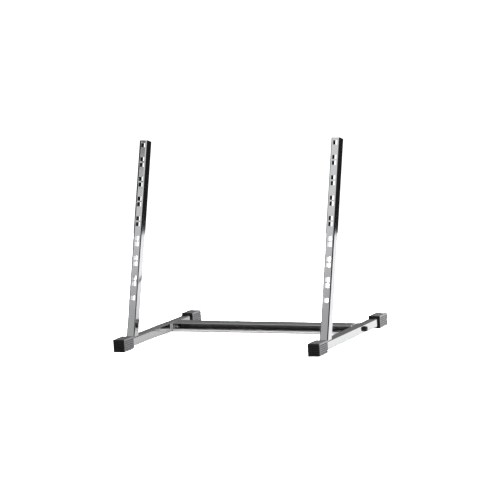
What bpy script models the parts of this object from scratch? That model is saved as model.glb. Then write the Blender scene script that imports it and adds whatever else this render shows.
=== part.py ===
"""A table-top rack stand: two leaning slotted uprights on two foot rails, tied by one crossbar.

Sizes are in metres. +Z is up, +X is to the right and +Y is to the rear. The origin is on the floor,
midway between the rails and midway between the front and rear ends of the caps.
"""

import math

import bmesh
import bpy
from mathutils import Matrix, Vector

MM = 0.001

# Rack standard: the pitch of one unit, the distance between the two columns of holes, and the square
# holes that take cage nuts. Each unit has one hole near its lower edge and one near its upper edge.
RACK_UNIT = 44.45 * MM
HOLE_COLUMNS = 465.1 * MM
UNIT_COUNT = 8
HOLE_SIZE = 9.5 * MM
HOLE_FROM_UNIT_EDGE = 6.35 * MM

# Whole stand
STAND_DEPTH = 387 * MM
LEAN = math.radians(16.6)
GAP = 0.3 * MM

# Foot rails: square tube
TUBE = 20 * MM
TUBE_WALL = 1.5 * MM
TUBE_CORNER = 2.5 * MM

# Crossbar: channel, open to the front, with a plate across each end
BAR_FROM_FRONT = 259 * MM
BAR_DEPTH = 40 * MM
BAR_HEIGHT = 20 * MM
BAR_WALL = 2 * MM
END_PLATE = 3 * MM

# Rubber sleeve caps
CAP = 28 * MM
CAP_LENGTH = 45 * MM
CAP_END = 4 * MM
CAP_CORNER = 1.5 * MM
GROOVE_COUNT = 5
GROOVE_PITCH = 4.4 * MM
GROOVE_WIDTH = 1.6 * MM
GROOVE_DEPTH = 0.8 * MM

# Uprights: channel, open to the rear
UPRIGHT = 20 * MM
UPRIGHT_WALL = 2 * MM
UPRIGHT_CORNER = 2.5 * MM
FOOT_FROM_FRONT = 55 * MM
LOWEST_HOLE = 87.2 * MM
TOP_MARGIN = 10.9 * MM
WELD_LEG = 2.6 * MM
WELD_CROWN = 0.5 * MM
WELD_SEGMENTS = 4

# Crossbar fastening: an M6 bolt and washer from outside, into a nut welded inside the end plate
BOLT = 6 * MM
BOLT_LENGTH = 35 * MM
HEAD_FLATS = 10 * MM
HEAD_HEIGHT = 4 * MM
CHAMFER = 0.6 * MM
WASHER = 12 * MM
WASHER_THICKNESS = 1.6 * MM
NUT_FLATS = 10 * MM
NUT_THICKNESS = 5 * MM
ROUND_SEGMENTS = 24

# Places that follow from the sizes
RAIL_X = HOLE_COLUMNS / 2
MID_Z = CAP / 2
RAIL_TOP = MID_Z + TUBE / 2
FRONT_Y = -STAND_DEPTH / 2
BAR_Y = FRONT_Y + BAR_FROM_FRONT
RAIL_LENGTH = STAND_DEPTH - 2 * (CAP_END + GAP)
RAIL_INNER_X = RAIL_X - TUBE / 2
RAIL_OUTER_X = RAIL_X + TUBE / 2
PLATE_X = RAIL_INNER_X - GAP - END_PLATE
BAR_END_X = PLATE_X - GAP
NUT_X = PLATE_X - GAP - NUT_THICKNESS
CLEAR_HOLE = BOLT + 2 * GAP
HOLE_SPAN = UNIT_COUNT * RACK_UNIT - 2 * HOLE_FROM_UNIT_EDGE
UPRIGHT_LENGTH = LOWEST_HOLE + HOLE_SPAN + TOP_MARGIN

SIDES = {"left": -1, "right": 1}
ENDS = {"front": -1, "rear": 1}

# Local +Z of a piece turned to run along world X, or along world Y
ALONG_X = (0, math.pi / 2, 0)
ALONG_Y = (-math.pi / 2, 0, 0)


def clear_scene():
    for thing in list(bpy.data.objects):
        bpy.data.objects.remove(thing)


def make_material(name, colour, roughness, metallic):
    material = bpy.data.materials.new(name)
    material.use_nodes = True
    shader = material.node_tree.nodes["Principled BSDF"]
    shader.inputs["Base Color"].default_value = (*colour, 1)
    shader.inputs["Roughness"].default_value = roughness
    shader.inputs["Metallic"].default_value = metallic
    material.diffuse_color = (*colour, 1)
    return material


# Outlines, as lists of 2-D points, anticlockwise


def arc(centre, radius, start, end, segments):
    """Points along an arc, both ends included. Angles are in degrees."""
    points = []
    for i in range(segments + 1):
        angle = math.radians(start + (end - start) * i / segments)
        points.append((centre[0] + radius * math.cos(angle), centre[1] + radius * math.sin(angle)))
    return points


def rounded_square(size, corner, segments=4):
    inset = size / 2 - corner
    points = []
    for quarter, (x, y) in enumerate([(1, 1), (-1, 1), (-1, -1), (1, -1)]):
        points += arc((x * inset, y * inset), corner, quarter * 90, quarter * 90 + 90, segments)
    return points


def circle(diameter, segments=ROUND_SEGMENTS):
    return arc((0, 0), diameter / 2, 0, 360, segments)[:-1]


def hexagon(flats):
    return arc((0, 0), flats / math.sqrt(3), 30, 390, 6)[:-1]


def grooved_side():
    """The steps of one grooved side, as (distance along the side, depth below it)."""
    steps = []
    for i in range(GROOVE_COUNT):
        middle = (i - (GROOVE_COUNT - 1) / 2) * GROOVE_PITCH
        low, high = middle - GROOVE_WIDTH / 2, middle + GROOVE_WIDTH / 2
        steps += [(low, 0), (low, GROOVE_DEPTH), (high, GROOVE_DEPTH), (high, 0)]
    return steps


def cap_outline():
    """The cap's section, seen from the front end: plain below, grooved on top and on both sides."""
    half = CAP / 2
    inset = half - CAP_CORNER
    right = [(half - depth, along) for along, depth in grooved_side()]
    top = [(-along, half - depth) for along, depth in grooved_side()]
    left = [(-half + depth, -along) for along, depth in grooved_side()]
    corners = [arc((x * inset, y * inset), CAP_CORNER, q * 90, q * 90 + 90, 3)
               for q, (x, y) in enumerate([(1, 1), (-1, 1), (-1, -1), (1, -1)])]
    return right + corners[0] + top + corners[1] + left + corners[2] + corners[3]


def channel_outline(width, depth, wall, corner):
    """A channel's section: its web on y = 0, open towards +Y."""
    half = width / 2
    inner = half - wall
    outside = arc((corner - half, corner), corner, 180, 270, 4)
    outside += arc((half - corner, corner), corner, 270, 360, 4)
    outside += [(half, depth), (inner, depth), (inner, wall)]
    return outside + [(-inner, wall), (-inner, depth), (-half, depth)]


# Solids


def prism(outline, length, start=0.0):
    """The outline pulled along local +Z."""
    mesh = bmesh.new()
    floor = mesh.faces.new([mesh.verts.new((x, y, start)) for x, y in outline])
    pulled = bmesh.ops.extrude_face_region(mesh, geom=[floor])["geom"]
    raised = [part for part in pulled if isinstance(part, bmesh.types.BMVert)]
    bmesh.ops.translate(mesh, verts=raised, vec=(0, 0, length))
    bmesh.ops.recalc_face_normals(mesh, faces=mesh.faces)
    return mesh


def turned(profile):
    """A solid turned about local Z from (radius, height) points that start and end on the axis."""
    mesh = bmesh.new()
    verts = [mesh.verts.new((radius, 0, height)) for radius, height in profile]
    edges = [mesh.edges.new(pair) for pair in zip(verts, verts[1:])]
    bmesh.ops.spin(mesh, geom=verts + edges, cent=(0, 0, 0), axis=(0, 0, 1),
                   angle=2 * math.pi, steps=ROUND_SEGMENTS, use_merge=True)
    bmesh.ops.remove_doubles(mesh, verts=mesh.verts, dist=1e-6)
    bmesh.ops.recalc_face_normals(mesh, faces=mesh.faces)
    return mesh


def add_object(name, mesh, place, turn=(0, 0, 0), material=None):
    data = bpy.data.meshes.new(name)
    mesh.to_mesh(data)
    mesh.free()
    thing = bpy.data.objects.new(name, data)
    bpy.context.scene.collection.objects.link(thing)
    thing.location = place
    thing.rotation_euler = turn
    if material:
        data.materials.append(material)
    return thing


def use_cutter(thing, mesh, operation="DIFFERENCE"):
    """Cuts a shape, given in the piece's own frame, out of it, or keeps only what they share."""
    cutter = add_object(thing.name + "_guide", mesh, (0, 0, 0))
    cutter.parent = thing
    cutter.hide_render = True
    cutter.display_type = "WIRE"
    boolean = thing.modifiers.new("cut", "BOOLEAN")
    boolean.operation = operation
    boolean.solver = "EXACT"
    boolean.object = cutter


def shade_round(thing):
    thing.data.shade_smooth()
    thing.data.set_sharp_from_angle(angle=math.radians(35))


def through(outline, length):
    """A cutter that runs a little past both ends of a piece of that length."""
    return prism(outline, length + 2 * MM, -MM)


# The pieces


def add_rail(side, chrome):
    rail = add_object(f"{side}_rail", prism(rounded_square(TUBE, TUBE_CORNER), RAIL_LENGTH),
                      (SIDES[side] * RAIL_X, -RAIL_LENGTH / 2, MID_Z), ALONG_Y, chrome)
    bore = TUBE - 2 * TUBE_WALL
    use_cutter(rail, through(rounded_square(bore, TUBE_CORNER - TUBE_WALL), RAIL_LENGTH))
    hole = prism(circle(CLEAR_HOLE), 2 * TUBE, -TUBE)
    place = Matrix.Translation((0, 0, BAR_Y + RAIL_LENGTH / 2))
    hole.transform(place @ Matrix.Rotation(math.pi / 2, 4, "Y"))
    use_cutter(rail, hole)
    shade_round(rail)


def add_cap(side, end, rubber):
    """A sleeve cap. Its local +Z runs from the closed end towards the middle of the rail."""
    toward = -ENDS[end]
    turn = (-toward * math.pi / 2, 0, 0)
    outline = cap_outline()
    if toward > 0:
        outline = [(x, -y) for x, y in reversed(outline)]
    cap = add_object(f"{side}_{end}_cap", prism(outline, CAP_LENGTH),
                     (SIDES[side] * RAIL_X, ENDS[end] * STAND_DEPTH / 2, MID_Z), turn, rubber)
    socket = rounded_square(TUBE + 2 * GAP, TUBE_CORNER)
    use_cutter(cap, prism(socket, CAP_LENGTH, CAP_END))


def upright_place(side):
    """The middle of the upright's front face, where it meets the rail."""
    return Vector((SIDES[side] * RAIL_X, FRONT_Y + FOOT_FROM_FRONT, RAIL_TOP + GAP))


def hole_heights():
    """Distances along the upright from its foot to the middle of each square hole."""
    heights = []
    for unit in range(UNIT_COUNT):
        lower = LOWEST_HOLE + unit * RACK_UNIT
        heights += [lower, lower + RACK_UNIT - 2 * HOLE_FROM_UNIT_EDGE]
    return heights


def add_upright(side, chrome):
    channel = prism(channel_outline(UPRIGHT, UPRIGHT, UPRIGHT_WALL, UPRIGHT_CORNER), UPRIGHT_LENGTH)
    for vert in channel.verts:
        if vert.co.z < UPRIGHT_LENGTH / 2:
            vert.co.z = vert.co.y * math.tan(LEAN)
    upright = add_object(f"{side}_upright", channel, upright_place(side), (-LEAN, 0, 0), chrome)
    holes = bmesh.new()
    for height in hole_heights():
        middle = Matrix.Translation((0, UPRIGHT_WALL / 2, height))
        size = Matrix.Diagonal((HOLE_SIZE, 3 * UPRIGHT_WALL, HOLE_SIZE, 1))
        bmesh.ops.create_cube(holes, size=1, matrix=middle @ size)
    use_cutter(upright, holes)
    shade_round(upright)


def add_weld(side, where, chrome):
    """A fillet bead across the foot of the upright, in front of its web or inside its channel.

    Its local +Z runs across the stand, and its section is drawn as (to the rear, up).
    """
    foot = upright_place(side)
    inner = where == "inner"
    width = UPRIGHT - 2 * UPRIGHT_CORNER
    top = Vector((WELD_LEG * math.tan(LEAN), WELD_LEG))
    toe = Vector((top.x + WELD_LEG if inner else -WELD_LEG, 0))
    section = [(0, 0)]
    for i in range(WELD_SEGMENTS + 1):
        share = i / WELD_SEGMENTS
        crown = WELD_CROWN * math.sin(math.pi * share)
        point = toe.lerp(top, share) + Vector((crown if inner else -crown, crown))
        section.append((point.x, point.y))
    offset = UPRIGHT_WALL + GAP if inner else -GAP
    place = (foot.x - width / 2, foot.y + offset / math.cos(LEAN), foot.z)
    add_object(f"{side}_{where}_weld", prism(section, width), place, (math.pi / 2, 0, math.pi / 2), chrome)


def add_crossbar(chrome):
    """The channel is drawn with its web down, so it is turned to put the web at the rear."""
    length = 2 * BAR_END_X
    section = channel_outline(BAR_HEIGHT, BAR_DEPTH, BAR_WALL, UPRIGHT_CORNER)
    bar = add_object("crossbar", prism([(x, -y) for x, y in section], length),
                     (-BAR_END_X, BAR_Y + BAR_DEPTH / 2, MID_Z), ALONG_X, chrome)
    shade_round(bar)


def outward(side):
    """The turn that points a piece's local +Z away from the middle of the stand."""
    return (0, SIDES[side] * math.pi / 2, 0)


def add_end_plate(side, chrome):
    x, y = BAR_HEIGHT / 2, BAR_DEPTH / 2
    plate = add_object(f"{side}_end_plate", prism([(-x, -y), (x, -y), (x, y), (-x, y)], END_PLATE),
                       (SIDES[side] * PLATE_X, BAR_Y, MID_Z), outward(side), chrome)
    use_cutter(plate, through(circle(CLEAR_HOLE), END_PLATE))


def add_nut(side, steel):
    nut = add_object(f"{side}_weld_nut", prism(hexagon(NUT_FLATS), NUT_THICKNESS),
                     (SIDES[side] * NUT_X, BAR_Y, MID_Z), outward(side), steel)
    use_cutter(nut, through(circle(CLEAR_HOLE), NUT_THICKNESS))


def add_washer(side, steel):
    washer = add_object(f"{side}_washer", prism(circle(WASHER), WASHER_THICKNESS),
                        (SIDES[side] * (RAIL_OUTER_X + GAP), BAR_Y, MID_Z), outward(side), steel)
    use_cutter(washer, through(circle(CLEAR_HOLE), WASHER_THICKNESS))
    shade_round(washer)


def add_bolt(side, steel):
    """A hexagon-head bolt. Local zero is the underside of its head."""
    seat = RAIL_OUTER_X + WASHER_THICKNESS + 2 * GAP
    blank = prism(hexagon(HEAD_FLATS), BOLT_LENGTH + HEAD_HEIGHT + 2 * MM, -BOLT_LENGTH - MM)
    bolt = add_object(f"{side}_bolt", blank, (SIDES[side] * seat, BAR_Y, MID_Z), outward(side), steel)
    shank = BOLT / 2
    edge = HEAD_FLATS / math.sqrt(3)
    profile = [
        (0, -BOLT_LENGTH), (shank - CHAMFER, -BOLT_LENGTH), (shank, -BOLT_LENGTH + CHAMFER), (shank, 0),
        (edge + MM, 0), (edge + MM, HEAD_HEIGHT - CHAMFER), (edge - CHAMFER, HEAD_HEIGHT), (0, HEAD_HEIGHT),
    ]
    use_cutter(bolt, turned(profile), "INTERSECT")
    shade_round(bolt)


def main():
    clear_scene()
    chrome = make_material("chrome", (0.78, 0.79, 0.80), 0.08, 1)
    rubber = make_material("black_rubber", (0.025, 0.025, 0.027), 0.65, 0)
    zinc = make_material("zinc_steel", (0.62, 0.62, 0.60), 0.35, 1)
    black_steel = make_material("black_steel", (0.03, 0.03, 0.032), 0.4, 1)
    add_crossbar(chrome)
    for side in SIDES:
        add_rail(side, chrome)
        add_upright(side, chrome)
        for where in ("front", "inner"):
            add_weld(side, where, chrome)
        for end in ENDS:
            add_cap(side, end, rubber)
        add_end_plate(side, chrome)
        add_nut(side, zinc)
        add_washer(side, black_steel)
        add_bolt(side, black_steel)


main()
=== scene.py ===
"""Finished look of a chrome-plated table-top rack stand, on a white studio floor. Sizes are in metres."""

import math

import bmesh
import bpy
from mathutils import Matrix, Vector

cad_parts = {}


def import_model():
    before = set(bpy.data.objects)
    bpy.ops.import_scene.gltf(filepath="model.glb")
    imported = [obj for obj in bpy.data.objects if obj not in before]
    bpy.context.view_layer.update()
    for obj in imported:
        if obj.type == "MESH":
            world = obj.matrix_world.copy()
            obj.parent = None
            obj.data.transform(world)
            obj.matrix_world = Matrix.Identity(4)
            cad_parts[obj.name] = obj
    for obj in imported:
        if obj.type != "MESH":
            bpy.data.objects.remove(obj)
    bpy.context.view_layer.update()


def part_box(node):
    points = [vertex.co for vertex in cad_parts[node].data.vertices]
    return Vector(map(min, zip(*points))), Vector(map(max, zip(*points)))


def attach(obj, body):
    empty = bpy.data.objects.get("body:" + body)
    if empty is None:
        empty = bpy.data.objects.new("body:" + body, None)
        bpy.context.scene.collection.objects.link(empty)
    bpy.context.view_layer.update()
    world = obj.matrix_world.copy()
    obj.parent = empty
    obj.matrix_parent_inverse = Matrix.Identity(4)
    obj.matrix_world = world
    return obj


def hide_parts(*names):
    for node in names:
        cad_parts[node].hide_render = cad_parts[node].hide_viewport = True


MM = 0.001
LEAN = math.radians(16.6)
RACK_UNIT = 44.45 * MM
UNITS = 8
LOWEST_HOLE = 87.2 * MM
HOLE_STEP = 31.75 * MM
HOLE = 9.5 * MM
HOLE_PAIR = 12.7 * MM
TOP_MARGIN = 10.9 * MM
UPRIGHT = 20 * MM
UPRIGHT_LENGTH = LOWEST_HOLE + UNITS * RACK_UNIT - HOLE_PAIR + TOP_MARGIN
CHANNEL_WALL = 2 * MM
TUBE_WALL = 1.5 * MM
CORNER = 2.5 * MM
CORNER_SEGMENTS = 8
CUT_EDGE = 0.25 * MM

GROOVE_STEPS = (-2, -1, 0, 1, 2)
GROOVE_PITCH = 4.4 * MM
GROOVE_HALF_WIDTH = 1.1 * MM
GROOVE_DEPTH = 0.8 * MM
GROOVE_END = 2.2 * MM
GROOVE_REACH = 9.7 * MM
CAP_RIM = 3.6 * MM
CAP_SOCKET = 9 * MM

HEXAGON = 10 * MM
HEXAGON_CORNER = 5.8 * MM
HEAD_HEIGHT = 4 * MM
THREAD_TURNS = 18
THREAD_ROOT = 2.45 * MM
THREAD_CREST = 2.95 * MM
NUT_BORE = 3.1 * MM
WASHER_BORE = 3.3 * MM
WASHER_RADIUS = 6 * MM
SIDES = {"left": -1, "right": 1}
ENDS = {"front": -1, "rear": 1}

CAMERA_PLACE = (2.48108, -5.25741, 1.00786)
CAMERA_TURN = math.radians(25.2)
CAMERA_TILT = math.radians(7.93)
CAMERA_ROLL = math.radians(-3.47)
CAMERA_LENS = 191.33
RAIL_X = 0.2326

# Material name, body colour, worn colour, wear, metallic, roughness range, patch and grain scales, bump
FINISHES = {
    "chrome": ("bright_chrome", (0.80, 0.81, 0.82), (0.66, 0.65, 0.62), 0.5, 1,
               (0.03, 0.11), (26, 900), (0.02, 0.0001)),
    # Painted light: the dull plating's dark colour is painted shade in the crossbar's hollow, and the satin
    # plating is a bright copy, a painted highlight on the inside of its lower flange.
    "dull_plating_with_painted_shade": ("dull_plating_with_painted_shade", (0.17, 0.17, 0.175), (0.3, 0.3, 0.3), 0.4, 0,
                     (0.4, 0.65), (90, 700), (0.3, 0.0003)),
    "satin_plating_painted_highlight": ("satin_plating_painted_highlight", (0.9, 0.9, 0.9), (0.7, 0.7, 0.7), 0.3, 0,
                      (0.3, 0.5), (90, 700), (0.2, 0.0002)),
    # A darker copy of the black rubber for the groove floors: painted shade in the grooves.
    "groove_rubber_painted_shade": ("groove_rubber_painted_shade", (0.002, 0.002, 0.002), (0.004, 0.004, 0.004), 0.5, 0,
                      (0.6, 0.8), (60, 1500), (0.35, 0.0002)),
    "rubber": ("ribbed_black_rubber", (0.012, 0.012, 0.0125), (0.045, 0.045, 0.045), 0.8, 0,
               (0.42, 0.68), (60, 1500), (0.35, 0.0002)),
    "black_steel": ("black_oxide_steel", (0.02, 0.02, 0.022), (0.2, 0.19, 0.18), 0.8, 1,
                    (0.28, 0.5), (150, 1800), (0.2, 0.0001)),
    "zinc_steel": ("dull_zinc_steel", (0.58, 0.58, 0.56), (0.42, 0.41, 0.38), 0.6, 1,
                   (0.3, 0.5), (120, 1600), (0.2, 0.0001)),
}
RUBBER_SPECULAR = 0.15


# Shared effects for the materials


def new_group(name, inputs, outputs):
    group = bpy.data.node_groups.new(name, "ShaderNodeTree")
    for label, kind, value in inputs:
        socket = group.interface.new_socket(label, in_out="INPUT", socket_type=kind)
        socket.default_value = value
    for label, kind in outputs:
        group.interface.new_socket(label, in_out="OUTPUT", socket_type=kind)
    return group, group.nodes.new("NodeGroupInput"), group.nodes.new("NodeGroupOutput")


def ranged(group, value, low, high):
    """A 0 to 1 value spread over low to high, which may be sockets or numbers."""
    node = group.nodes.new("ShaderNodeMapRange")
    group.links.new(value, node.inputs["Value"])
    for label, bound in (("To Min", low), ("To Max", high)):
        if isinstance(bound, (int, float)):
            node.inputs[label].default_value = bound
        else:
            group.links.new(bound, node.inputs[label])
    return node.outputs["Result"]


def noise(group, scale, detail, stretch=(1, 1, 1)):
    """Noise on Object coordinates."""
    place = group.nodes.new("ShaderNodeTexCoord")
    mapping = group.nodes.new("ShaderNodeMapping")
    mapping.inputs["Scale"].default_value = stretch
    texture = group.nodes.new("ShaderNodeTexNoise")
    texture.inputs["Detail"].default_value = detail
    group.links.new(place.outputs["Object"], mapping.inputs["Vector"])
    group.links.new(mapping.outputs["Vector"], texture.inputs["Vector"])
    if isinstance(scale, (int, float)):
        texture.inputs["Scale"].default_value = scale
    else:
        group.links.new(scale, texture.inputs["Scale"])
    return texture.outputs["Fac"]


def handling_group():
    """Roughness that varies as on a handled surface, and the slight waviness of drawn or moulded stock."""
    group, given, put = new_group(
        "handled_surface",
        [("Smoothest", "NodeSocketFloat", 0.05), ("Roughest", "NodeSocketFloat", 0.15),
         ("Patch Scale", "NodeSocketFloat", 30.0), ("Grain Scale", "NodeSocketFloat", 900.0)],
        [("Roughness", "NodeSocketFloat"), ("Height", "NodeSocketFloat")])
    patches = noise(group, given.outputs["Patch Scale"], 5)
    rough = ranged(group, patches, given.outputs["Smoothest"], given.outputs["Roughest"])
    group.links.new(rough, put.inputs["Roughness"])
    grain = noise(group, given.outputs["Grain Scale"], 2)
    waves = noise(group, 55, 1, (1, 0.25, 0.25))
    add = group.nodes.new("ShaderNodeMath")
    add.operation = "ADD"
    group.links.new(grain, add.inputs[0])
    group.links.new(waves, add.inputs[1])
    group.links.new(add.outputs["Value"], put.inputs["Height"])
    return group


def wear_group():
    """Base colour between a body colour and the colour it wears to, along the edges and in faint patches."""
    group, given, put = new_group(
        "edge_wear",
        [("Body", "NodeSocketColor", (0.5, 0.5, 0.5, 1)), ("Worn", "NodeSocketColor", (0.8, 0.8, 0.8, 1)),
         ("Amount", "NodeSocketFloat", 0.5)],
        [("Color", "NodeSocketColor")])
    shape = group.nodes.new("ShaderNodeNewGeometry")
    edge = group.nodes.new("ShaderNodeMapRange")
    edge.inputs["From Min"].default_value = 0.52
    edge.inputs["From Max"].default_value = 0.62
    group.links.new(shape.outputs["Pointiness"], edge.inputs["Value"])
    breakup = ranged(group, noise(group, 220, 6), -0.6, 1.6)
    both = group.nodes.new("ShaderNodeMath")
    both.operation = "MULTIPLY"
    both.use_clamp = True
    group.links.new(edge.outputs["Result"], both.inputs[0])
    group.links.new(breakup, both.inputs[1])
    scaled = group.nodes.new("ShaderNodeMath")
    scaled.operation = "MULTIPLY"
    group.links.new(both.outputs["Value"], scaled.inputs[0])
    group.links.new(given.outputs["Amount"], scaled.inputs[1])
    mix = group.nodes.new("ShaderNodeMix")
    mix.data_type = "RGBA"
    group.links.new(scaled.outputs["Value"], mix.inputs["Factor"])
    group.links.new(given.outputs["Body"], mix.inputs["A"])
    group.links.new(given.outputs["Worn"], mix.inputs["B"])
    group.links.new(mix.outputs["Result"], put.inputs["Color"])
    return group


def finish_material(name, groups, body, worn, wear, metallic, rough, scales, bump):
    """A material from the two shared effects. bump is (strength, depth in metres)."""
    material = bpy.data.materials.new(name)
    material.use_nodes = True
    tree = material.node_tree
    shader = tree.nodes["Principled BSDF"]
    shader.inputs["Metallic"].default_value = metallic
    surface = tree.nodes.new("ShaderNodeGroup")
    surface.node_tree = groups["handling"]
    surface.inputs["Smoothest"].default_value, surface.inputs["Roughest"].default_value = rough
    surface.inputs["Patch Scale"].default_value, surface.inputs["Grain Scale"].default_value = scales
    colour = tree.nodes.new("ShaderNodeGroup")
    colour.node_tree = groups["wear"]
    colour.inputs["Body"].default_value = (*body, 1)
    colour.inputs["Worn"].default_value = (*worn, 1)
    colour.inputs["Amount"].default_value = wear
    relief = tree.nodes.new("ShaderNodeBump")
    relief.inputs["Strength"].default_value, relief.inputs["Distance"].default_value = bump
    tree.links.new(surface.outputs["Roughness"], shader.inputs["Roughness"])
    tree.links.new(surface.outputs["Height"], relief.inputs["Height"])
    tree.links.new(relief.outputs["Normal"], shader.inputs["Normal"])
    tree.links.new(colour.outputs["Color"], shader.inputs["Base Color"])
    return material


def make_finishes():
    groups = {"handling": handling_group(), "wear": wear_group()}
    finishes = {slot: finish_material(name, groups, *look) for slot, (name, *look) in FINISHES.items()}
    for slot in ("rubber", "groove_rubber_painted_shade"):
        shader = finishes[slot].node_tree.nodes["Principled BSDF"]
        shader.inputs["Specular IOR Level"].default_value = RUBBER_SPECULAR
    return finishes


# Shaping


def block(low, high):
    low, high = Vector(low), Vector(high)
    mesh = bmesh.new()
    bmesh.ops.create_cube(mesh, size=1)
    bmesh.ops.scale(mesh, verts=mesh.verts, vec=high - low)
    bmesh.ops.translate(mesh, verts=mesh.verts, vec=(low + high) / 2)
    return mesh


def drop_faces(mesh, *directions):
    """Opens the block on the sides that face these directions."""
    mesh.normal_update()
    doomed = [f for f in mesh.faces if any(f.normal.dot(Vector(d)) > 0.9 for d in directions)]
    bmesh.ops.delete(mesh, geom=doomed, context="FACES")


def round_edges(mesh, radius, segments, wanted):
    edges = [e for e in mesh.edges if wanted(e)]
    bmesh.ops.bevel(mesh, geom=edges, offset=radius, segments=segments, profile=0.5,
                    affect="EDGES", material=-1, clamp_overlap=True)


def runs_along(axis, edge):
    step = edge.verts[1].co - edge.verts[0].co
    return abs(step[axis]) > 0.95 * step.length


def slice_across(mesh, axis, places):
    """Cuts new edges into the whole mesh at each place along an axis."""
    normal = Vector((0, 0, 0))
    normal[axis] = 1
    for place in places:
        geom = mesh.verts[:] + mesh.edges[:] + mesh.faces[:]
        bmesh.ops.bisect_plane(mesh, geom=geom, plane_co=normal * place, plane_no=normal, dist=1e-7)


def spun(profile, segments):
    """A closed turned shape about Z from (radius, height) points."""
    mesh = bmesh.new()
    verts = [mesh.verts.new((radius, 0, height)) for radius, height in profile]
    edges = [mesh.edges.new(pair) for pair in zip(verts, verts[1:])]
    bmesh.ops.spin(mesh, geom=verts + edges, cent=(0, 0, 0), axis=(0, 0, 1), angle=2 * math.pi,
                   steps=segments, use_merge=True)
    bmesh.ops.remove_doubles(mesh, verts=mesh.verts, dist=1e-7)
    bmesh.ops.recalc_face_normals(mesh, faces=mesh.faces)
    return mesh


def point_outward(mesh, side, base_x, centre_y, centre_z):
    """Turns a piece made along +Z to run away from the middle of the stand, from base_x."""
    turn = Matrix.Rotation(SIDES[side] * math.pi / 2, 4, "Y")
    place = Matrix.Translation((base_x, centre_y, centre_z)) @ turn
    bmesh.ops.transform(mesh, verts=mesh.verts, matrix=place)


def limit_to_hexagon(mesh, flats, above):
    """Draws the round head's sides in to a hexagon, which leaves the chamfered corners of a real one."""
    for vert in mesh.verts:
        radius = math.hypot(vert.co.x, vert.co.y)
        if vert.co.z < above or radius < 1e-6:
            continue
        turn = (math.atan2(vert.co.y, vert.co.x) + math.pi / 6) % (math.pi / 3) - math.pi / 6
        reach = flats / 2 / math.cos(turn)
        if radius > reach:
            vert.co.x *= reach / radius
            vert.co.y *= reach / radius


def finished(name, mesh, slot, finishes, nodes, wall=0.0, edge=0.0):
    data = bpy.data.meshes.new(name)
    mesh.to_mesh(data)
    mesh.free()
    data.shade_smooth()
    data.materials.append(finishes[slot])
    piece = bpy.data.objects.new(name, data)
    bpy.context.scene.collection.objects.link(piece)
    if wall:
        shell = piece.modifiers.new("wall", "SOLIDIFY")
        shell.thickness = wall
        shell.offset = -1
        shell.use_even_offset = True
    if edge:
        rounding = piece.modifiers.new("edges", "BEVEL")
        rounding.width = edge
        rounding.segments = 2
        rounding.limit_method = "ANGLE"
        rounding.angle_limit = math.radians(40)
    piece.modifiers.new("shading", "WEIGHTED_NORMAL")
    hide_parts(*nodes)
    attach(piece, "root")
    return piece


# The pieces


def make_rail(side, finishes):
    low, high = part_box(f"{side}_rail")
    mesh = block(low, high)
    drop_faces(mesh, (0, 1, 0), (0, -1, 0))
    round_edges(mesh, CORNER, CORNER_SEGMENTS, lambda e: runs_along(1, e) and not e.is_boundary)
    finished(f"{side}_foot_rail", mesh, "chrome", finishes, [f"{side}_rail"], wall=TUBE_WALL)


def make_crossbar(finishes):
    """Plating barely reaches the hollow. It and the cut edges are dull, and their dark colour is painted
    shade. The inner upper face of its lower flange is a bright satin copy of the plating, a painted
    highlight.
    """
    low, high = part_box("crossbar")
    mesh = block(low, high)
    drop_faces(mesh, (1, 0, 0), (-1, 0, 0), (0, -1, 0))
    round_edges(mesh, CORNER, CORNER_SEGMENTS, lambda e: runs_along(0, e) and not e.is_boundary)
    mesh.normal_update()
    # Bottom faces: chrome outside, and through the wall's material offset the satin painted highlight on
    # their inner side.
    for face in mesh.faces:
        if face.normal.z < -0.9:
            face.material_index = 3
    bar = finished("cross_channel", mesh, "chrome", finishes, ["crossbar"],
                   wall=CHANNEL_WALL, edge=CUT_EDGE)
    # Inner faces and cut edges take the dull plating, darkened as painted shade; the lower flange's inner
    # face takes the satin painted highlight.
    for finish in ("dull_plating_with_painted_shade", "dull_plating_with_painted_shade", "chrome", "satin_plating_painted_highlight", "dull_plating_with_painted_shade"):
        bar.data.materials.append(finishes[finish])
    bar.modifiers["wall"].material_offset = 1
    bar.modifiers["wall"].material_offset_rim = 2


def hole_heights():
    heights = []
    for unit in range(UNITS):
        heights += [LOWEST_HOLE + unit * RACK_UNIT, LOWEST_HOLE + unit * RACK_UNIT + HOLE_STEP]
    return heights


def in_a_hole(face):
    middle = face.calc_center_median()
    return (abs(middle.x) < HOLE / 2 and abs(middle.y) < 0.1 * MM
            and any(abs(middle.z - height) < HOLE / 2 for height in hole_heights()))


def make_upright(side, finishes):
    """Made standing, front face on y = 0, then leant back about the foot of its front face."""
    low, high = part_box(f"{side}_upright")
    half = UPRIGHT / 2
    mesh = block((-half, 0, 0), (half, UPRIGHT, UPRIGHT_LENGTH))
    drop_faces(mesh, (0, 0, 1), (0, 0, -1), (0, 1, 0))
    round_edges(mesh, CORNER, CORNER_SEGMENTS, lambda e: runs_along(2, e) and not e.is_boundary)
    slice_across(mesh, 0, (-HOLE / 2, HOLE / 2))
    slice_across(mesh, 2, [h + edge for h in hole_heights() for edge in (-HOLE / 2, HOLE / 2)])
    bmesh.ops.delete(mesh, geom=[f for f in mesh.faces if in_a_hole(f)], context="FACES")
    for vert in mesh.verts:
        if vert.co.z < 1e-6:
            vert.co.z = vert.co.y * math.tan(LEAN)
    foot = Vector(((low[0] + high[0]) / 2, low[1], low[2]))
    place = Matrix.Translation(foot) @ Matrix.Rotation(-LEAN, 4, "X")
    bmesh.ops.transform(mesh, verts=mesh.verts, matrix=place)
    finished(f"{side}_slotted_upright", mesh, "chrome", finishes, [f"{side}_upright"],
             wall=CHANNEL_WALL, edge=CUT_EDGE)


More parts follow.
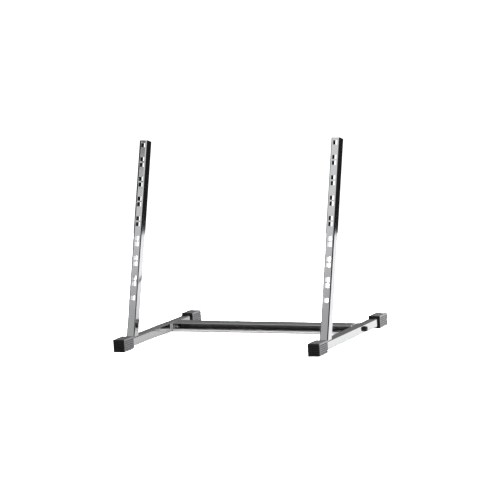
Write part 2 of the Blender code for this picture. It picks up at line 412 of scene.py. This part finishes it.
def make_cap(side, end, finishes):
    node = f"{side}_{end}_cap"
    low, high = Vector(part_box(node)[0]), Vector(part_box(node)[1])
    toward = -ENDS[end]
    mesh = block(low, high)
    middle = (low + high) / 2
    edges = [step * GROOVE_PITCH + way * GROOVE_HALF_WIDTH for step in GROOVE_STEPS for way in (-1, 1)]
    slice_across(mesh, 0, [middle.x + e for e in edges])
    slice_across(mesh, 2, [middle.z + e for e in edges])
    slice_across(mesh, 1, [low.y + GROOVE_END, high.y - GROOVE_END])
    mesh.normal_update()

    def grooved(face):
        at = face.calc_center_median()
        if face.normal.y * toward > 0.5 or face.normal.z < -0.5:
            return False
        closed_end = abs(face.normal.y) > 0.5
        if closed_end and abs(at.x - middle.x) > GROOVE_REACH:
            return False
        if not closed_end and abs(at.y - middle.y) > (high.y - low.y) / 2 - 3 * MM:
            return False
        along = at.x - middle.x if face.normal.z > 0.5 else at.z - middle.z
        return any(abs(along - step * GROOVE_PITCH) < 0.5 * MM for step in GROOVE_STEPS)

    strips = [f for f in mesh.faces if grooved(f)]
    bmesh.ops.inset_region(mesh, faces=strips, thickness=0.15 * MM, depth=-GROOVE_DEPTH,
                           use_even_offset=True)
    # The groove floors take the darker rubber copy, painted shade in the grooves.
    for face in strips:
        face.material_index = 1
    mesh.normal_update()
    rim_y = low.y if toward < 0 else high.y
    rim = [f for f in mesh.faces if abs(f.calc_center_median().y - rim_y) < 0.01 * MM]
    bmesh.ops.inset_region(mesh, faces=rim, thickness=CAP_RIM, depth=0, use_even_offset=True)
    bmesh.ops.inset_region(mesh, faces=rim, thickness=0.05 * MM, depth=-CAP_SOCKET,
                           use_even_offset=True)
    sleeve = finished(f"{side}_{end}_sleeve", mesh, "rubber", finishes, [node], edge=0.3 * MM)
    # Slot 1 is the darker rubber copy, the painted shade of the grooves.
    sleeve.data.materials.append(finishes["groove_rubber_painted_shade"])


def make_weld(side, where, finishes):
    """A rippled bead across the foot of the upright, in front of its web or inside its channel."""
    node = f"{side}_{where}_weld"
    low, high = Vector(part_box(node)[0]), Vector(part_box(node)[1])
    size = high - low
    mesh = bmesh.new()
    bmesh.ops.create_cone(mesh, cap_ends=True, segments=20, radius1=size.z * 0.8, radius2=size.z * 0.8,
                          depth=size.x * 0.98, matrix=Matrix.Rotation(math.pi / 2, 4, "Y"))
    slice_across(mesh, 0, [(i / 48 - 0.5) * size.x * 0.97 for i in range(1, 48)])
    for vert in mesh.verts:
        ripple = 1 + 0.07 * math.sin(vert.co.x / (1.3 * MM) * 2 * math.pi)
        taper = math.sqrt(max(0.05, 1 - (2 * vert.co.x / size.x) ** 6))
        vert.co.y *= ripple * taper
        vert.co.z *= ripple * taper
    reach = size.z * 0.8
    centre_y = low.y + reach if where == "inner" else high.y - reach
    bmesh.ops.translate(mesh, verts=mesh.verts,
                        vec=((low.x + high.x) / 2, centre_y, low.z + 0.1 * size.z))
    finished(f"{side}_{where}_bead", mesh, "chrome", finishes, [node])


def make_end_plate(side, finishes):
    low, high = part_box(f"{side}_end_plate")
    mesh = block(low, high)
    finished(f"{side}_bar_end_plate", mesh, "chrome", finishes, [f"{side}_end_plate"], edge=0.4 * MM)


def fastener_place(side, node):
    low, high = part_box(node)
    inner = min(abs(low[0]), abs(high[0]))
    return SIDES[side] * inner, (low[1] + high[1]) / 2, (low[2] + high[2]) / 2, abs(high[0] - low[0])


def make_nut(side, finishes):
    x, y, z, height = fastener_place(side, f"{side}_weld_nut")
    bevel = 0.4 * MM
    profile = [(NUT_BORE, 0), (3.5 * MM, 0), (5.1 * MM, 0), (HEXAGON_CORNER, bevel),
               (HEXAGON_CORNER, height - bevel), (5.1 * MM, height), (3.5 * MM, height),
               (NUT_BORE, height - bevel), (NUT_BORE, 0)]
    mesh = spun(profile, 72)
    limit_to_hexagon(mesh, HEXAGON, -1)
    point_outward(mesh, side, x, y, z)
    finished(f"{side}_captive_nut", mesh, "zinc_steel", finishes, [f"{side}_weld_nut"])


def make_washer(side, finishes):
    x, y, z, height = fastener_place(side, f"{side}_washer")
    rim = 0.3 * MM
    profile = [(WASHER_BORE, 0), (WASHER_RADIUS - rim, 0), (WASHER_RADIUS, rim),
               (WASHER_RADIUS, height - rim), (WASHER_RADIUS - rim, height), (WASHER_BORE, height),
               (WASHER_BORE, 0)]
    mesh = spun(profile, 64)
    point_outward(mesh, side, x, y, z)
    finished(f"{side}_plain_washer", mesh, "black_steel", finishes, [f"{side}_washer"])


def make_bolt(side, finishes):
    """A hexagon head on a threaded shank. The shank's tip shows past the nut."""
    x, y, z, length = fastener_place(side, f"{side}_bolt")
    seat = length - HEAD_HEIGHT
    profile = [(0, 0), (2.3 * MM, 0)]
    for turn in range(THREAD_TURNS):
        start = (0.5 + turn) * MM
        profile += [(THREAD_ROOT, start), (THREAD_CREST, start + 0.5 * MM)]
    profile += [(THREAD_CREST, seat), (4.6 * MM, seat), (HEXAGON_CORNER, seat + 0.05 * MM),
                (HEXAGON_CORNER, length - 0.7 * MM), (4.9 * MM, length - 0.1 * MM), (4.4 * MM, length),
                (0, length)]
    mesh = spun(profile, 72)
    limit_to_hexagon(mesh, HEXAGON, seat - 0.01 * MM)
    point_outward(mesh, side, x, y, z)
    finished(f"{side}_frame_bolt", mesh, "black_steel", finishes, [f"{side}_bolt"])


# Studio


def show_seen_and_reflected(tree, seen, reflected, output):
    """Camera rays get one shader and all other rays get the other."""
    rays = tree.nodes.new("ShaderNodeLightPath")
    mix = tree.nodes.new("ShaderNodeMixShader")
    tree.links.new(rays.outputs["Is Camera Ray"], mix.inputs["Fac"])
    tree.links.new(reflected, mix.inputs[1])
    tree.links.new(seen, mix.inputs[2])
    tree.links.new(mix.outputs["Shader"], output)


def ramp_between(tree, value, start, end, low, high):
    node = tree.nodes.new("ShaderNodeMapRange")
    tree.links.new(value, node.inputs["Value"])
    for label, number in (("From Min", start), ("From Max", end), ("To Min", low), ("To Max", high)):
        node.inputs[label].default_value = number
    return node.outputs["Result"]


def floor_material():
    """White to the camera. To all other rays it glows, dimmer on the left as painted shade, and with a
    painted shadow close under the rails.
    """
    material = bpy.data.materials.new("white_floor")
    material.use_nodes = True
    tree = material.node_tree
    paper = tree.nodes["Principled BSDF"]
    paper.inputs["Base Color"].default_value = (0.9, 0.9, 0.9, 1)
    paper.inputs["Roughness"].default_value = 0.8
    paper.inputs["Emission Color"].default_value = (1, 1, 1, 1)
    paper.inputs["Emission Strength"].default_value = 0.9
    place = tree.nodes.new("ShaderNodeTexCoord")
    parts = tree.nodes.new("ShaderNodeSeparateXYZ")
    tree.links.new(place.outputs["Object"], parts.inputs["Vector"])
    glow = tree.nodes.new("ShaderNodeEmission")
    steps = []
    for operation, number in (("ABSOLUTE", 0), ("SUBTRACT", RAIL_X), ("ABSOLUTE", 0)):
        step = tree.nodes.new("ShaderNodeMath")
        step.operation = operation
        step.inputs[1].default_value = number
        tree.links.new(steps[-1] if steps else parts.outputs["X"], step.inputs[0])
        steps.append(step.outputs["Value"])
    # Painted shadow: the glow falls almost to nothing within 10 mm of each rail's line, and is full from 20
    # mm out.
    clear_of_painted_rail_shadow = ramp_between(tree, steps[-1], 0.01, 0.02, 0.02, 1)
    strength = tree.nodes.new("ShaderNodeMath")
    strength.operation = "MULTIPLY"
    # Painted shade: the glow is dimmer towards the left.
    tree.links.new(ramp_between(tree, parts.outputs["X"], -0.25, 0.3, 0.55, 1.05), strength.inputs[0])
    tree.links.new(clear_of_painted_rail_shadow, strength.inputs[1])
    tree.links.new(strength.outputs["Value"], glow.inputs["Strength"])
    show_seen_and_reflected(tree, paper.outputs["BSDF"], glow.outputs["Emission"],
                            tree.nodes["Material Output"].inputs["Surface"])
    return material


def panel_material():
    """A light panel, brighter towards its top."""
    material = bpy.data.materials.new("light_panel")
    material.use_nodes = True
    tree = material.node_tree
    tree.nodes.remove(tree.nodes["Principled BSDF"])
    place = tree.nodes.new("ShaderNodeTexCoord")
    parts = tree.nodes.new("ShaderNodeSeparateXYZ")
    tree.links.new(place.outputs["Object"], parts.inputs["Vector"])
    glow = tree.nodes.new("ShaderNodeEmission")
    tree.links.new(ramp_between(tree, parts.outputs["Z"], 0.5, 0.85, 0.42, 0.72), glow.inputs["Strength"])
    tree.links.new(glow.outputs["Emission"], tree.nodes["Material Output"].inputs["Surface"])
    return material


def stage_sheet(name, size, turn, centre, material):
    mesh = bmesh.new()
    bmesh.ops.create_grid(mesh, x_segments=1, y_segments=1, size=0.5)
    bmesh.ops.scale(mesh, verts=mesh.verts, vec=(*size, 1))
    bmesh.ops.transform(mesh, verts=mesh.verts, matrix=Matrix.Translation(centre) @ turn)
    data = bpy.data.meshes.new(name)
    mesh.to_mesh(data)
    mesh.free()
    data.materials.append(material)
    sheet = bpy.data.objects.new(name, data)
    bpy.context.scene.collection.objects.link(sheet)
    return sheet


def make_floor():
    stage_sheet("studio_floor", (6, 6.6), Matrix.Identity(4), (0, -1.7, -0.0002), floor_material())


def make_panel():
    """Only reflections show the panel."""
    standing = Matrix.Rotation(math.pi / 2, 4, "X")
    panel = stage_sheet("light_panel", (0.92, 1.1), standing, (-0.42, -1.15, 0.85), panel_material())
    panel.visible_camera = False
    panel.visible_diffuse = False
    panel.visible_shadow = False


def make_world():
    """White to the camera. All other rays meet a dark studio, lighter overhead and low at the rear."""
    world = bpy.data.worlds.new("studio")
    bpy.context.scene.world = world
    world.use_nodes = True
    tree = world.node_tree
    tree.nodes.clear()
    seen = tree.nodes.new("ShaderNodeBackground")
    seen.inputs["Strength"].default_value = 1.3
    seen.inputs["Color"].default_value = (1, 1, 1, 1)
    around = tree.nodes.new("ShaderNodeBackground")
    around.inputs["Color"].default_value = (1, 1, 1, 1)
    direction = tree.nodes.new("ShaderNodeTexCoord")
    parts = tree.nodes.new("ShaderNodeSeparateXYZ")
    tree.links.new(direction.outputs["Generated"], parts.inputs["Vector"])
    above = ramp_between(tree, parts.outputs["Z"], -0.01, 0.08, 0, 1)
    behind = ramp_between(tree, parts.outputs["Y"], 0.2, 0.7, 0, 0.15)
    both = tree.nodes.new("ShaderNodeMath")
    both.operation = "MULTIPLY_ADD"
    overhead = ramp_between(tree, parts.outputs["Z"], 0.38, 0.75, 0.015, 0.6)
    tree.links.new(overhead, both.inputs[2])
    tree.links.new(above, both.inputs[0])
    tree.links.new(behind, both.inputs[1])
    tree.links.new(both.outputs["Value"], around.inputs["Strength"])
    out = tree.nodes.new("ShaderNodeOutputWorld")
    show_seen_and_reflected(tree, seen.outputs["Background"], around.outputs["Background"],
                            out.inputs["Surface"])


def add_softbox(name, place, target, width, height, power):
    """Lights the dull surfaces, and leaves no reflection in the chrome."""
    data = bpy.data.lights.new(name, "AREA")
    data.shape = "RECTANGLE"
    data.size = width
    data.size_y = height
    data.energy = power
    lamp = bpy.data.objects.new(name, data)
    lamp.location = place
    lamp.rotation_euler = (Vector(target) - Vector(place)).to_track_quat("-Z", "Y").to_euler()
    lamp.visible_glossy = False
    bpy.context.scene.collection.objects.link(lamp)


def make_camera():
    """The viewpoint is from the front right, a little above the stand, with a long lens."""
    reach = math.cos(CAMERA_TILT)
    back = Vector((math.sin(CAMERA_TURN) * reach, -math.cos(CAMERA_TURN) * reach, math.sin(CAMERA_TILT)))
    level = (-back).cross(Vector((0, 0, 1))).normalized()
    upward = level.cross(-back)
    right = level * math.cos(CAMERA_ROLL) + upward * math.sin(CAMERA_ROLL)
    up = upward * math.cos(CAMERA_ROLL) - level * math.sin(CAMERA_ROLL)
    data = bpy.data.cameras.new("camera")
    data.lens = CAMERA_LENS
    data.sensor_width = 36
    data.clip_end = 100
    camera = bpy.data.objects.new("camera", data)
    axes = Matrix((right, up, back)).transposed().to_4x4()
    camera.matrix_world = Matrix.Translation(CAMERA_PLACE) @ axes
    bpy.context.scene.collection.objects.link(camera)
    bpy.context.scene.camera = camera


def main():
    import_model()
    bpy.context.scene.view_settings.view_transform = "Standard"
    finishes = make_finishes()
    make_crossbar(finishes)
    for side in SIDES:
        make_rail(side, finishes)
        make_upright(side, finishes)
        for where in ("front", "inner"):
            make_weld(side, where, finishes)
        make_end_plate(side, finishes)
        make_nut(side, finishes)
        make_washer(side, finishes)
        make_bolt(side, finishes)
        for end in ENDS:
            make_cap(side, end, finishes)
    make_floor()
    make_panel()
    make_world()
    add_softbox("front_softbox", (0.3, -2.2, 2.2), (0, 0, 0), 1.5, 1.5, 130)
    add_softbox("right_softbox", (2.1, 1.0, 0.5), (0, 0.1, 0), 1.2, 0.8, 1900)
    make_camera()


main()
